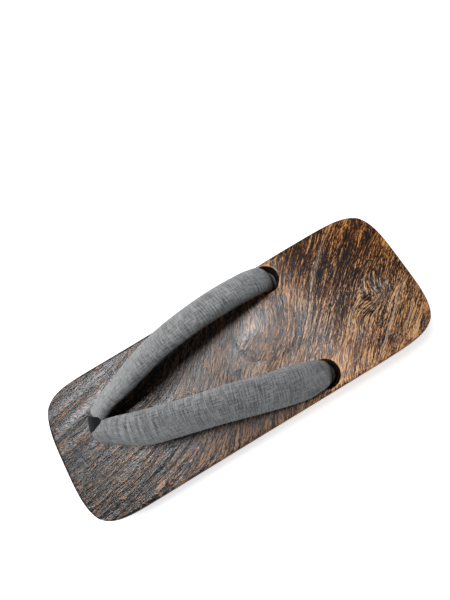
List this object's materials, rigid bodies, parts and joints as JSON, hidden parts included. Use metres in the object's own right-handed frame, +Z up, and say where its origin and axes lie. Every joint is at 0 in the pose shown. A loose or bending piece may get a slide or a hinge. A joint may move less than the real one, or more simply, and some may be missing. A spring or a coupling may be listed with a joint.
{
  "type": "geta sandal",
  "caption": "Wooden clog sandal with an arched block sole and a padded cloth thong held by a toe loop; left shoe.",
  "frame": {"origin": "on the ground under the middle of the sole", "axes": "+X points to the toe, +Y to the outer side of the left foot, +Z up"},
  "size_m": [0.255, 0.0958, 0.068],
  "materials": {
    "burnt_wood": "burnt and brushed grain under a clear satin coat",
    "strap_cloth": "matt slubbed linen, mid grey",
    "loop_cloth": "matt dark cloth",
    "tie_cord": "twisted dark cord"
  },
  "bodies": {
    "root": {"wood_base": "burnt_wood", "straps": "strap_cloth", "toe_loop": "loop_cloth", "toe_knot": "loop_cloth", "heel_tie": "tie_cord"}
  },
  "joints": []
}
